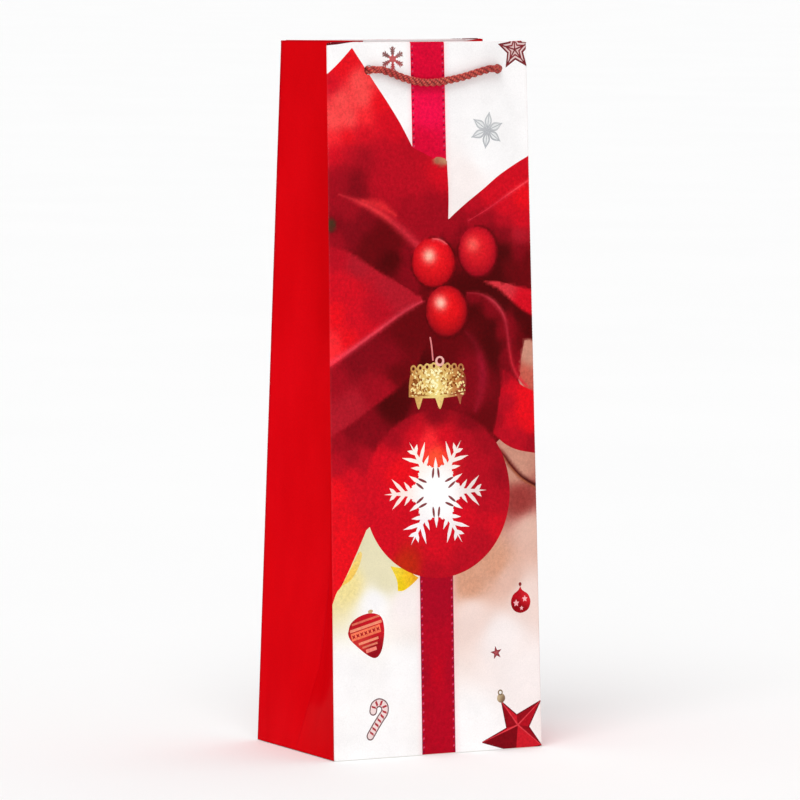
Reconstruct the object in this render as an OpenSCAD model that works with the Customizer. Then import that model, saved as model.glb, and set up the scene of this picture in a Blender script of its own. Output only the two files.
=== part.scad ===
// Tall paper gift bag for a bottle: a folded and glued sheet with creased side gussets, a turned-in
// top hem over stiff cards, a loose base board, and two knotted cord handles.
// X runs across the front panel, -Y is the front, +Z is up. The origin is the centre of the base.

/* [Bag] */
// Width of the front and back panels
bag_width = 120; // [110:1:140]
// Depth of the base from front to back
bag_depth = 85; // [80:1:100]
// Height of the panels from the bottom crease to the top fold
bag_height = 360; // [320:1:420]
// How far the top of each wall leans in from upright
mouth_lean = 19; // [15:0.5:20]

/* [Paper] */
// Thickness of the printed sheet
paper = 0.25; // [0.2:0.05:0.3]
// Height of the turned-in hem
hem_height = 40; // [30:1:50]
// Thickness of the cards that stiffen the mouth
card_thick = 0.6; // [0.4:0.1:0.8]
// Thickness of the base board
board_thick = 1; // [0.6:0.1:1.5]

/* [Handles] */
// Diameter of the handle cord
cord_d = 4; // [3.6:0.1:4.2]
// Diameter of the punched cord holes
hole_d = 6.2; // [6.2:0.1:7]
// Distance between a handle's two holes
hole_spacing = 78; // [76:1:80]
// How far the pair of holes sits to the right of the panel's middle
hole_offset = 3.5; // [0:0.5:4]
// Distance of the holes below the top fold
hole_drop = 14; // [12:1:18]

/* [Hidden] */
$fn = 48;
clear = 0.3;                                    // gap between pieces that move past each other
lean = asin(mouth_lean / bag_height);           // lean of the front and back walls, in degrees
top_z = bag_height * cos(lean);                 // height of the mouth above the table
wall_stack = 2 * paper + card_thick;            // panel, card and hem together
flap_stack = 3 * paper;                         // layers of folded flaps under the base board
wall_foot = flap_stack + clear;                 // where the walls begin above the base
gusset_apex = bag_depth / 2;                    // where the middle crease leaves the base's triangle
crease_gap = 0.006;                             // half the gap along the diagonal, as a share of the width
flap_overlap = 16;                              // glued overlap of the two long base flaps
side_flap_depth = 38;                           // reach of the short base flaps
board_margin = 2;                               // gap between the base board and each wall
tab_width = 15;                                 // glued seam tab inside the back wall
card_height = 36;
hem_foot = top_z - hem_height - 3;              // just below the hem, where a gusset's diagonal ends
card_margin = 3;                                // how far the card and hem stop short of the corners
gusset_rings = 24;                              // levels at which a gusset's section is taken
hem_levels = [top_z - hem_height, top_z - hem_height / 2, top_z];
glue = 0.02;                                    // gap between a gusset and its hem
cord_sides = 10;
cord_gap = clear / 2;                           // half the gap where a loop meets a tail
loop_lift = cord_d / 2 + clear;                 // height of the loop's centreline above the panel

// The loop's centreline between its two tails, as [x, drop below the holes]
loop_route = [[-30, 0], [-28, 0], [-22, 1.8], [-14, 4.6], [-5, 6.5], [4, 6.5],
              [12, 5.4], [20, 3.8], [29, 1.4], [35, 0], [37, 0]];
// A tail's centreline as [away from the bag's middle, inwards from the hole's centre, drop]
tail_route = [[-5.5, -2.85, 0], [-3.2, -2.85, 0], [-1, -2, 0], [0, 0, 0], [0, 1.2, 0.1],
              [-0.3, 3.6, 1.5], [-0.7, 4.8, 4.5], [-1.2, 5, 10], [-2, 5.5, 22], [-2.6, 6.3, 38],
              [-3, 7.1, 54], [-3.2, 7.9, 70], [-3.4, 8.7, 86], [-3.5, 9.6, 104]];
knot_d = 9.5;
knot_drop = 108;                                // the knot's centre below the holes
tip_length = 10;                                // free end of the cord under the knot

// ---------------------------------------------------------------- frames

// A wall's own frame: outer face at y = 0, inwards is +y, z runs up the wall from the bottom crease
module on_front_wall() translate([0, -bag_depth / 2, 0]) rotate([-lean, 0, 0]) children();
module on_back_wall() mirror([0, 1, 0]) on_front_wall() children();

// The frame of one cord hole, side -1 at the left and 1 at the right: +x points away from the bag's middle
module at_hole(side) {
    translate([hole_offset + side * hole_spacing / 2, wall_stack / 2, bag_height - hole_drop])
        mirror([side < 0 ? 1 : 0, 0, 0]) children();
}

// ---------------------------------------------------------------- skins through rings of points

// A closed solid through rings that each have the same number of points. The second half of a ring is
// split along the other diagonal, so that the two faces of a thin twisted sheet stay parallel.
module skin(rings) {
    n = len(rings[0]);
    last = len(rings) - 1;
    sides = [for (i = [0 : last - 1], j = [0 : n - 1])
        let (a = i * n + j, b = i * n + (j + 1) % n)
        each (2 * j < n ? [[a, b, b + n], [a, b + n, a + n]] : [[a, b, a + n], [b, b + n, a + n]])];
    first_cap = [for (j = [n - 1 : -1 : 0]) j];
    last_cap = [for (j = [0 : n - 1]) last * n + j];
    polyhedron([for (ring = rings) each ring], concat(sides, [first_cap, last_cap]), convexity = 4);
}

function unit(v) = v / norm(v);
function tangent(points, i) = unit(points[min(i + 1, len(points) - 1)] - points[max(i - 1, 0)]);

// The rings of a round tube; normals start from one reference direction that no tangent follows
function tube_rings(points, r, reference) = [for (i = [0 : len(points) - 1])
    let (t = tangent(points, i), u = unit(cross(t, reference)), v = cross(t, u))
    [for (j = [0 : cord_sides - 1]) let (a = 360 * j / cord_sides)
        points[i] + r * (cos(a) * u + sin(a) * v)]];

// ---------------------------------------------------------------- base

// A long base flap's outline: full width at its crease, its ends cut back along the corner folds
module long_flap_outline(reach) {
    corner = bag_depth / 2;
    polygon([[-bag_width / 2, 0], [bag_width / 2, 0],
             [bag_width / 2 - corner, corner], [bag_width / 2 - corner, reach],
             [-bag_width / 2 + corner, reach], [-bag_width / 2 + corner, corner]]);
}

// The front flap lies on the table and steps up over the back flap's edge
module bottom_flap_front() {
    reach = (bag_depth + flap_overlap) / 2;
    step = reach - flap_overlap;
    color("whitesmoke") translate([0, -bag_depth / 2, 0]) {
        intersection() {
            linear_extrude(paper) long_flap_outline(reach);
            translate([-bag_width / 2, 0, 0]) cube([bag_width, step - clear, paper]);
        }
        intersection() {
            translate([0, 0, paper]) linear_extrude(paper) long_flap_outline(reach);
            translate([-bag_width / 2, step - clear - paper, 0]) cube([bag_width, bag_depth, 1]);
        }
        translate([-bag_width / 2 + step, step - clear - paper, 0])
            cube([bag_width - 2 * step, paper, 2 * paper]);
    }
}

module bottom_flap_back() {
    color("whitesmoke") mirror([0, 1, 0]) translate([0, -bag_depth / 2, 0])
        linear_extrude(paper) long_flap_outline((bag_depth + flap_overlap) / 2);
}

// A short flap folds in from a gusset under the base board
module short_flap() {
    slant = 6;
    color("crimson") translate([0, 0, 2 * paper]) linear_extrude(paper)
        polygon([[-bag_width / 2, -bag_depth / 2 + 1], [-bag_width / 2, bag_depth / 2 - 1],
                 [-bag_width / 2 + side_flap_depth, bag_depth / 2 - slant],
                 [-bag_width / 2 + side_flap_depth, -bag_depth / 2 + slant]]);
}
module bottom_flap_left() short_flap();
module bottom_flap_right() mirror([1, 0, 0]) short_flap();

module base_board() {
    size = [bag_width - 2 * board_margin, bag_depth - 2 * board_margin, board_thick];
    color("tan") translate([-size.x / 2, -size.y / 2, flap_stack]) cube(size);
}

// ---------------------------------------------------------------- front and back walls

// The two cord holes, cut through a layer of the wall
module cord_holes() {
    for (side = [-1, 1]) at_hole(side)
        rotate([90, 0, 0]) cylinder(d = hole_d, h = 4 * wall_stack, center = true);
}

module wall_panel() {
    color("white") difference() {
        translate([-bag_width / 2, 0, wall_foot])
            cube([bag_width, paper, bag_height - paper - wall_foot]);
        cord_holes();
    }
}

module wall_card() {
    width = bag_width - 2 * card_margin;
    color("lightgray") difference() {
        translate([-width / 2, paper, bag_height - paper - card_height])
            cube([width, card_thick, card_height]);
        cord_holes();
    }
}

// The hem folds over the top edge of panel and card and hangs down inside
module wall_hem() {
    width = bag_width - 2 * card_margin;
    color("white") difference() {
        union() {
            translate([-width / 2, 0, bag_height - paper]) cube([width, wall_stack, paper]);
            translate([-width / 2, paper + card_thick, bag_height - hem_height])
                cube([width, paper, hem_height - paper / 2]);
        }
        cord_holes();
    }
}

module front_panel() on_front_wall() wall_panel();
module front_card() on_front_wall() wall_card();
module front_hem() on_front_wall() wall_hem();
module back_panel() on_back_wall() wall_panel();
module back_card() on_back_wall() wall_card();
module back_hem() on_back_wall() wall_hem();

module seam_tab() {
    color("white") on_back_wall()
        translate([bag_width / 2 - 1 - tab_width, paper, wall_foot])
            cube([tab_width, paper, bag_height - hem_height - wall_foot - 1]);
}

// ---------------------------------------------------------------- gussets

// Half the gap between the walls at height z
function half_mouth(z) = bag_depth / 2 - z * tan(lean);
// How far the gusset's middle crease folds in, with each half keeping its width
function folded_in(z) = sqrt(pow(bag_depth / 2, 2) - pow(half_mouth(z), 2));
function crease_in(z) = z < gusset_apex ? folded_in(gusset_apex) * z / gusset_apex : folded_in(z);
// A gusset half starts this far behind the wall's outer face, further back where the hem is
function edge_gap(z) = z > top_z - hem_height - 4 ? wall_stack + 2 * paper + clear : 2 * paper + clear;

// One level of the left gusset's front half: between two shares of its width, and two depths
function gusset_ring(z, share, depth) =
    let (a = [-bag_width / 2, -half_mouth(z) + edge_gap(z)],
         b = [-bag_width / 2 + crease_in(z), -clear / 2],
         along = unit(b - a), inward = [along.y, -along.x],
         near = a + (b - a) * share[0], far = a + (b - a) * share[1])
    [for (p = [near + inward * depth[0], far + inward * depth[0],
               far + inward * depth[1], near + inward * depth[1]]) [p.x, p.y, z]];

// The diagonal from the base corner to the middle crease at the hem parts the half into a crease side
// and a wall side, which turn about different folds
function diagonal(z) = z / hem_foot;

// The triangle between the base, the middle crease and the diagonal
module crease_side() {
    low = wall_foot + clear;
    high = hem_foot * 0.985;
    color("red") skin([for (i = [0 : gusset_rings]) let (z = low + (high - low) * i / gusset_rings)
        gusset_ring(z, [diagonal(z) + crease_gap, 1], [0, paper])]);
}

// The rest of the half: it widens up to the hem and then runs at full width to the top
module wall_side() {
    low = hem_foot * 0.025;
    levels = [for (i = [0 : gusset_rings]) low + (hem_foot - low) * i / gusset_rings];
    color("red") skin([
        for (z = levels) gusset_ring(z, [0, diagonal(z) - crease_gap], [0, paper]),
        gusset_ring(hem_foot + 1, [0, 1], [0, paper]),
        for (z = hem_levels) gusset_ring(z, [0, 1], [0, paper])]);
}

module gusset_hem() {
    color("red") skin([for (z = hem_levels)
        gusset_ring(z, [0, 1], [paper + glue, 2 * paper + glue])]);
}

module left_front_gusset() crease_side();
module left_front_fold() wall_side();
module left_front_gusset_hem() gusset_hem();
module left_rear_gusset() mirror([0, 1, 0]) crease_side();
module left_rear_fold() mirror([0, 1, 0]) wall_side();
module left_rear_gusset_hem() mirror([0, 1, 0]) gusset_hem();
module right_front_gusset() mirror([1, 0, 0]) crease_side();
module right_front_fold() mirror([1, 0, 0]) wall_side();
module right_front_gusset_hem() mirror([1, 0, 0]) gusset_hem();
module right_rear_gusset() mirror([1, 0, 0]) mirror([0, 1, 0]) crease_side();
module right_rear_fold() mirror([1, 0, 0]) mirror([0, 1, 0]) wall_side();
module right_rear_gusset_hem() mirror([1, 0, 0]) mirror([0, 1, 0]) gusset_hem();

// ---------------------------------------------------------------- cord handles

// The part of the handle that lies outside the panel and swings
module handle_loop() {
    last = len(loop_route) - 1;
    points = [for (i = [0 : last]) let (p = loop_route[i],
        trim = i == 0 ? cord_gap : i == last ? -cord_gap : 0)
        [p.x + trim, -loop_lift, bag_height - hole_drop - p.y]];
    color("brown") skin(tube_rings(points, cord_d / 2, [0, 1, 0]));
}

// A tail runs from the loop through its hole and hangs inside the bag
module tail(side) {
    color("brown") at_hole(side)
        skin(tube_rings([for (p = tail_route) [p.x, p.y, -p.z]], cord_d / 2, [0.82, -0.57, 0.02]));
}

module knot(side) {
    end = tail_route[len(tail_route) - 1];
    color("brown") at_hole(side) translate([end.x, end.y, -knot_drop]) {
        sphere(d = knot_d);
        translate([0, 0, -knot_d / 2 - tip_length]) cylinder(d = cord_d, h = tip_length + 1);
    }
}

module front_handle_loop() on_front_wall() handle_loop();
module front_left_tail() on_front_wall() tail(-1);
module front_right_tail() on_front_wall() tail(1);
module front_left_knot() on_front_wall() knot(-1);
module front_right_knot() on_front_wall() knot(1);
module back_handle_loop() on_back_wall() handle_loop();
module back_left_tail() on_back_wall() tail(-1);
module back_right_tail() on_back_wall() tail(1);
module back_left_knot() on_back_wall() knot(-1);
module back_right_knot() on_back_wall() knot(1);

// ---------------------------------------------------------------- nodes

bottom_flap_front();
bottom_flap_back();
bottom_flap_left();
bottom_flap_right();
base_board();
front_panel();
front_card();
front_hem();
back_panel();
back_card();
back_hem();
seam_tab();
left_front_gusset();
left_front_fold();
left_front_gusset_hem();
left_rear_gusset();
left_rear_fold();
left_rear_gusset_hem();
right_front_gusset();
right_front_fold();
right_front_gusset_hem();
right_rear_gusset();
right_rear_fold();
right_rear_gusset_hem();
front_handle_loop();
front_left_tail();
front_right_tail();
front_left_knot();
front_right_knot();
back_handle_loop();
back_left_tail();
back_right_tail();
back_left_knot();
back_right_knot();
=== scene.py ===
"""Looks of the tall wine gift bag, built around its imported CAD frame.

Lengths in the code are millimetres unless a name says otherwise; meshes are made in metres.
X runs across the front panel, -Y is the front, +Z is up.
"""
import math

import bpy
import numpy as np
from mathutils import Matrix, Vector, geometry
from mathutils.kdtree import KDTree


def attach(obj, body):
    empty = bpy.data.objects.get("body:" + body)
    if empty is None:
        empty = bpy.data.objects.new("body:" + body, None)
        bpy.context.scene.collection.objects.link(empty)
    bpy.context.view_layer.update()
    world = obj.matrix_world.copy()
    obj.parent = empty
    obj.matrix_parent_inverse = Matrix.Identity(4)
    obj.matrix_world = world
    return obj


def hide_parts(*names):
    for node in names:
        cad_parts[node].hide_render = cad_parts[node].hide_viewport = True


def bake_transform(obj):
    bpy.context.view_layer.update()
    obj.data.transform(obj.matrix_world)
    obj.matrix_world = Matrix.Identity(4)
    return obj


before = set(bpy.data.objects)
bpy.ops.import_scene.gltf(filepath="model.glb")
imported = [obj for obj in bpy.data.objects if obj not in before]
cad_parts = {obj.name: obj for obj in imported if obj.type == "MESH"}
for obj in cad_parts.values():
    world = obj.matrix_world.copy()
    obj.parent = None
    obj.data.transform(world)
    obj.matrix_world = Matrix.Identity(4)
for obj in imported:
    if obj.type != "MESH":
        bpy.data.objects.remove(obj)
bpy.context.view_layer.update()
scene = bpy.context.scene
MM = 0.001

# ---------------------------------------------------------------- numbers repeated from part.scad
BAG_W, BAG_D, BAG_H = 120.0, 85.0, 360.0
LEAN = math.asin(19.0 / BAG_H)
TOP_Z = BAG_H * math.cos(LEAN)
PAPER, CARD = 0.25, 0.6
STACK = 2 * PAPER + CARD
HEM = 40.0
CARD_HEIGHT = 36.0
CARD_HALF = BAG_W / 2 - 3
HOLE_X = (3.5 - 39.0, 3.5 + 39.0)
HOLE_Z = BAG_H - 14.0
LOOP_ROUTE = [(-30, 0), (-28, 0), (-22, 1.8), (-14, 4.6), (-5, 6.5), (4, 6.5), (12, 5.4), (20, 3.8),
              (29, 1.4), (35, 0), (37, 0)]
TAIL_ROUTE = [(-5.5, -2.85, 0), (-4.2, -2.8, 0), (-2.3, -1.9, 0), (-1.3, 0, 0), (-1.2, 1.2, 0.1),
              (-1.1, 3.6, 1.5),
              (-1.0, 4.8, 4.5), (-1.2, 5, 10), (-2, 5.5, 22), (-2.6, 6.3, 38), (-3, 7.1, 54),
              (-3.2, 7.9, 70), (-3.4, 8.7, 86), (-3.5, 9.6, 104)]
KNOT_DROP = 108.0

# the cord fills its holes, which the CAD draws wider and 1.2 mm further out
SEEN_HOLE_X = (HOLE_X[0] + 1.2, HOLE_X[1] - 1.2)
SEEN_HOLE_D = 5.0
TIP_LENGTH = 10.0

# ---------------------------------------------------------------- camera
azimuth, elevation, roll = math.radians(28.58), math.radians(5.02), math.radians(0.46)
back = Vector((-math.sin(azimuth) * math.cos(elevation), -math.cos(azimuth) * math.cos(elevation),
               math.sin(elevation)))
right = Vector((math.cos(azimuth), -math.sin(azimuth), 0))
up = back.cross(right)
camera_data = bpy.data.cameras.new("camera")
camera_data.sensor_width, camera_data.lens = 36.0, 264.0
camera_data.clip_start, camera_data.clip_end = 0.1, 100.0
camera = bpy.data.objects.new("camera", camera_data)
scene.collection.objects.link(camera)
aim = Vector((0, 0, 0.18)) - right * 0.00102 - up * 0.00357
camera.rotation_mode = "QUATERNION"
camera.rotation_quaternion = (-back).to_track_quat("-Z", "Y") @ Matrix.Rotation(roll, 4,
        "Z").to_quaternion()
camera.location = aim + back * 2.99
scene.camera = camera


# ---------------------------------------------------------------- node helpers
def srgb(*rgb):
    """Colour given as 0-255 numbers, as linear RGBA."""
    c = np.array(rgb, float) / 255
    lin = np.where(c <= 0.04045, c / 12.92, ((c + 0.055) / 1.055) ** 2.4)
    return (*[float(x) for x in lin], 1.0)


class Maker:
    """A material and short ways to add nodes to it."""

    def __init__(self, name, **settings):
        self.mat = bpy.data.materials.new(name)
        self.mat.use_nodes = True
        self.tree = self.mat.node_tree
        self.shader = self.tree.nodes["Principled BSDF"]
        for key, value in settings.items():
            self.shader.inputs[key.replace("_", " ")].default_value = value
        self.place = self.node("ShaderNodeTexCoord").outputs["Object"]

    def node(self, kind, **settings):
        made = self.tree.nodes.new(kind)
        for key, value in settings.items():
            setattr(made, key, value)
        return made

    def link(self, out, into):
        self.tree.links.new(out, into)

    def put(self, socket, value):
        if isinstance(value, bpy.types.NodeSocket):
            self.link(value, socket)
        else:
            socket.default_value = value

    def noise(self, scale, detail=2.0, rough=0.5, vector=None, stretch=None):
        made = self.node("ShaderNodeTexNoise")
        made.inputs["Scale"].default_value = scale
        made.inputs["Detail"].default_value = detail
        made.inputs["Roughness"].default_value = rough
        source = vector or self.place
        if stretch:
            mapping = self.node("ShaderNodeMapping")
            mapping.inputs["Scale"].default_value = stretch
            self.link(source, mapping.inputs["Vector"])
            source = mapping.outputs["Vector"]
        self.link(source, made.inputs["Vector"])
        return made.outputs["Fac"]

    def span(self, value, low, high, to_low=0.0, to_high=1.0):
        made = self.node("ShaderNodeMapRange")
        for key, number in (("From Min", low), ("From Max", high), ("To Min", to_low), ("To Max", to_high)):
            made.inputs[key].default_value = number
        self.link(value, made.inputs["Value"])
        return made.outputs["Result"]

    def math(self, operation, a, b=0.0):
        made = self.node("ShaderNodeMath", operation=operation)
        self.put(made.inputs[0], a)
        self.put(made.inputs[1], b)
        return made.outputs[0]

    def mix(self, factor, a, b, blend="MIX"):
        made = self.node("ShaderNodeMix", data_type="RGBA", blend_type=blend)
        self.put(made.inputs["Factor"], factor)
        self.put(made.inputs["A"], a)
        self.put(made.inputs["B"], b)
        return made.outputs["Result"]

    def attribute(self, name, output="Fac"):
        return self.node("ShaderNodeAttribute", attribute_name=name).outputs[output]

    def bump(self, height, distance, strength=1.0, normal=None):
        made = self.node("ShaderNodeBump")
        made.inputs["Distance"].default_value = distance
        made.inputs["Strength"].default_value = strength
        self.link(height, made.inputs["Height"])
        if normal:
            self.link(normal, made.inputs["Normal"])
        return made.outputs["Normal"]

    def finish(self, colour=None, roughness=None, normal=None):
        for key, value in (("Base Color", colour), ("Roughness", roughness), ("Normal", normal)):
            if value is not None:
                self.put(self.shader.inputs[key], value)
        return self.mat


def grey(value):
    return (value, value, value, 1.0)


def make_print():
    """Laminated art paper: the printed picture with ink mottling, print grain and a soft gloss."""
    m = Maker("printed_art_paper", Specular_IOR_Level=0.02, Coat_Weight=0.04, Coat_Roughness=0.15)
    picture = m.attribute("print", "Color")
    mottle = m.span(m.noise(55, 3), 0.3, 0.7, 0.965, 1.035)
    grain = m.span(m.noise(1500, 2, 0.6), 0.25, 0.75, 0.95, 1.05)
    velvet = m.span(m.noise(620, 2, 0.7), 0.3, 0.7, 0.84, 1.16)
    split = m.node("ShaderNodeSeparateColor", mode="HSV")
    m.link(picture, split.inputs["Color"])
    inked = m.span(split.outputs[1], 0.35, 0.85)
    tone = m.math("MULTIPLY", mottle, grain)
    tone = m.mix(inked, tone, m.math("MULTIPLY", tone, velvet))
    colour = m.mix(1.0, picture, tone, "MULTIPLY")
    rubbed = m.math("MULTIPLY", m.attribute("crease"), m.span(m.noise(90, 4, 0.65), 0.3, 0.7, 0.06, 0.24))
    colour = m.mix(rubbed, colour, srgb(176, 60, 66))
    waves = m.noise(14, 2, 0.45)
    fibre = m.noise(2600, 3, 0.6)
    normal = m.bump(fibre, 0.00002, 0.35, m.bump(waves, 0.0009, 0.3))
    return m.finish(colour, m.span(m.noise(90, 3), 0.3, 0.7, 0.36, 0.46), normal)


def make_side():
    """The same laminated paper with a plain red print; painted shade darkens it along its creases, where it
    is also worn pale.
    """
    m = Maker("red_side_paper", Specular_IOR_Level=0.0, Coat_Weight=0.03, Coat_Roughness=0.18)
    base = m.mix(m.span(m.noise(11, 3), 0.3, 0.7), srgb(214, 3, 12), srgb(222, 6, 20))
    base = m.mix(m.span(m.noise(70, 3, stretch=(1, 1, 0.25)), 0.35, 0.75), base, srgb(207, 1, 11))
    tone = m.span(m.noise(1400, 2, 0.6), 0.25, 0.75, 0.95, 1.05)
    base = m.mix(1.0, base, tone, "MULTIPLY")
    crease = m.attribute("crease")
    # painted shade: the red is mixed darker along the creases, where the folds hold shade
    base = m.mix(m.math("MULTIPLY", crease, 0.7), base, srgb(150, 0, 18))
    worn = m.math("MULTIPLY", m.span(crease, 0.5, 1.0), m.span(m.noise(300, 4, 0.65), 0.55, 0.75))
    base = m.mix(m.math("MULTIPLY", worn, 0.4), base, srgb(226, 150, 146))
    waves = m.noise(16, 2, 0.45, stretch=(1, 1, 0.5))
    fibre = m.noise(2600, 3, 0.6)
    normal = m.bump(fibre, 0.00002, 0.35, m.bump(waves, 0.0012, 0.35))
    return m.finish(base, m.span(m.noise(90, 3), 0.3, 0.7, 0.38, 0.48), normal)


def make_white():
    """The sheet's uncoated white back."""
    m = Maker("paper_back", Specular_IOR_Level=0.15)
    base = m.mix(m.span(m.noise(40, 4), 0.3, 0.7), srgb(246, 244, 239), srgb(238, 235, 228))
    flecks = m.span(m.noise(900, 4, 0.7), 0.6, 0.8)
    base = m.mix(m.math("MULTIPLY", flecks, 0.35), base, srgb(222, 217, 206))
    normal = m.bump(m.noise(1300, 5, 0.7), 0.00006, 0.5)
    return m.finish(base, m.span(m.noise(200, 3), 0.3, 0.7, 0.72, 0.88), normal)


def make_board(name, dark, light, fleck):
    """Recycled card with fibres and flecks."""
    m = Maker(name, Specular_IOR_Level=0.15)
    base = m.mix(m.span(m.noise(30, 4), 0.3, 0.7), srgb(*dark), srgb(*light))
    fibres = m.span(m.noise(420, 4, 0.7, stretch=(1, 0.25, 1)), 0.55, 0.75)
    base = m.mix(m.math("MULTIPLY", fibres, 0.6), base, srgb(*fleck))
    dots = m.node("ShaderNodeTexVoronoi")
    dots.inputs["Scale"].default_value = 260
    m.link(m.place, dots.inputs["Vector"])
    base = m.mix(m.span(dots.outputs["Distance"], 0.16, 0.1, 0.0, 0.45), base,
                 srgb(*[x * 0.6 for x in fleck]))
    normal = m.bump(m.noise(700, 5, 0.7), 0.00012, 0.6)
    return m.finish(base, m.span(m.noise(150, 3), 0.3, 0.7, 0.75, 0.92), normal)


def make_cord():
    """Twisted cord: fine yarns laid across each strand, red brown with paler gold fibres."""
    m = Maker("twisted_cord", Specular_IOR_Level=0.35, Sheen_Weight=0.12, Sheen_Roughness=0.4)
    m.shader.inputs["Sheen Tint"].default_value = srgb(255, 170, 130)
    place = m.node("ShaderNodeUVMap", uv_map="rope").outputs["UV"]
    yarn = m.node("ShaderNodeTexWave", wave_type="BANDS", bands_direction="X", wave_profile="SIN")
    yarn.inputs["Scale"].default_value = 1.0
    yarn.inputs["Distortion"].default_value = 1.6
    yarn.inputs["Detail"].default_value = 2.0
    yarn.inputs["Detail Scale"].default_value = 1.2
    m.link(place, yarn.inputs["Vector"])
    speckle = m.noise(1100, 3, 0.7)
    base = m.mix(m.span(yarn.outputs["Fac"], 0.1, 0.9), srgb(150, 26, 34), srgb(222, 76, 64))
    base = m.mix(m.span(speckle, 0.52, 0.68), base, srgb(226, 130, 98))
    base = m.mix(m.span(m.noise(70, 2), 0.45, 0.75, 0.0, 0.6), base, srgb(146, 24, 32))
    # painted shade: the grooves between the strands are painted darker
    groove_shade = m.attribute("groove_shade")
    base = m.mix(m.math("MULTIPLY", groove_shade, 0.75), base, srgb(76, 8, 14))
    normal = m.bump(yarn.outputs["Fac"], 0.00025, 0.9, m.bump(m.noise(2200, 3, 0.7), 0.0001, 0.5))
    return m.finish(base, m.span(speckle, 0.3, 0.7, 0.5, 0.72), normal)


# ---------------------------------------------------------------- meshes
def add(name, mesh, *materials):
    made = bpy.data.objects.new(name, mesh)
    scene.collection.objects.link(made)
    for material in materials:
        mesh.materials.append(material)
    return made


def build(name, verts, faces, smooth_angle=None):
    """A mesh from points in mm, welded and shaded smooth up to an angle."""
    mesh = bpy.data.meshes.new(name)
    mesh.from_pydata([tuple(p) for p in np.asarray(verts) * MM], [], faces)
    mesh.polygons.foreach_set("use_smooth", [True] * len(mesh.polygons))
    if smooth_angle:
        mesh.set_sharp_from_angle(angle=math.radians(smooth_angle))
    mesh.update()
    return mesh


def spline(points, closed=False, step=1.0):
    """A Catmull-Rom curve through points of any dimension, about step mm apart."""
    p = [np.array(q, float) for q in points]
    n, out = len(p), []
    for i in range(n if closed else n - 1):
        b, c = p[i], p[(i + 1) % n]
        a = p[i - 1] if closed or i > 0 else 2 * b - c
        d = p[(i + 2) % n] if closed or i + 2 < n else 2 * c - b
        k = max(1, int(round(float(np.linalg.norm(c - b)) / step)))
        for t in np.arange(k) / k:
            out.append(0.5 * (2 * b + (c - a) * t + (2 * a - 5 * b + 4 * c - d) * t ** 2
                              + (3 * b - a - 3 * c + d) * t ** 3))
    return np.array(out if closed else out + [p[-1]])


# ---------------------------------------------------------------- cords
def rope(name, points, twist_from=0.0, fade_ends=(0.0, 0.0), squash=1.0, ring=36, pitch=10.5, row=0.45):
    """A three-strand twisted cord along points in mm. Returns the object and its centreline."""
    line = spline(points, step=0.3)
    run = np.concatenate([[0], np.cumsum(np.linalg.norm(np.diff(line, axis=0), axis=1))])
    rows = max(8, int(run[-1] / row))
    at = np.linspace(0, run[-1], rows + 1)
    centre = np.stack([np.interp(at, run, line[:, k]) for k in range(3)], 1)
    tangent = np.gradient(centre, axis=0)
    tangent /= np.linalg.norm(tangent, axis=1)[:, None]
    side = np.cross(tangent[0], (0.3, 0.9, 0.28))
    sides = []
    for t in tangent:                                        # the frame is carried along without turning
        side = side - t * (side @ t)
        side /= np.linalg.norm(side)
        sides.append(side)
    sides = np.array(sides)
    others = np.cross(tangent, sides)
    angle = np.arange(ring) / ring * 2 * math.pi
    turned = angle[None, :] - 2 * math.pi * (at[:, None] + twist_from) / pitch
    off = (turned + math.pi / 3) % (2 * math.pi / 3) - math.pi / 3
    lobe = 0.95 * np.cos(off) + np.sqrt(1.06 ** 2 - (0.95 * np.sin(off)) ** 2)
    even = np.minimum(1, np.minimum((at + 0.01) / max(fade_ends[0], 0.01),
                                    (run[-1] - at + 0.01) / max(fade_ends[1], 0.01)))[:, None]
    radius = (lobe * even + 1.75 * (1 - even)) * squash
    points3 = (centre[:, None] + radius[..., None] * (np.cos(angle)[None, :, None] * sides[:, None]
                                                      + np.sin(angle)[None, :, None] * others[:, None]))
    verts = list(points3.reshape(-1, 3)) + [centre[0], centre[-1]]
    faces = [(i * ring + j, i * ring + (j + 1) % ring, (i + 1) * ring + (j + 1) % ring, (i + 1) * ring + j)
             for i in range(rows) for j in range(ring)]
    first, last = len(verts) - 2, len(verts) - 1
    faces += [(first, (j + 1) % ring, j) for j in range(ring)]
    faces += [(last, rows * ring + j, rows * ring + (j + 1) % ring) for j in range(ring)]
    mesh = build(name, verts, faces)
    # depth in the grooves between strands, which the cord material paints as shade
    groove_shade = np.clip((2.01 - lobe) / 0.75, 0, 1) ** 1.5 * even
    mesh.attributes.new("groove_shade", "FLOAT", "POINT").data.foreach_set(
        "value", np.concatenate([groove_shade.ravel(), [0, 0]]).astype(np.float32))
    uv = mesh.uv_layers.new(name="rope")
    coords = np.zeros((len(mesh.loops), 2), np.float32)
    k = 0
    for i in range(rows):
        for j in range(ring):                                # yarns run across the strands' own lay
            for di, dj in ((0, 0), (0, 1), (1, 1), (1, 0)):
                around = (j + dj) / ring
                coords[k] = (around * 2.0 + at[i + di] / 5.2, at[i + di] / 40)
                k += 1
    uv.data.foreach_set("uv", coords.ravel())
    return add(name, mesh, cord_material), centre


def wall_place(front, x, yw, zw):
    """A point of a wall's own frame (inwards, up the wall) as a point of the bag; front is 1 or -1."""
    y = -BAG_D / 2 + yw * math.cos(LEAN) + zw * math.sin(LEAN)
    z = -yw * math.sin(LEAN) + zw * math.cos(LEAN)
    return np.stack(np.broadcast_arrays(x, front * y, z), -1).astype(float)


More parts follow.
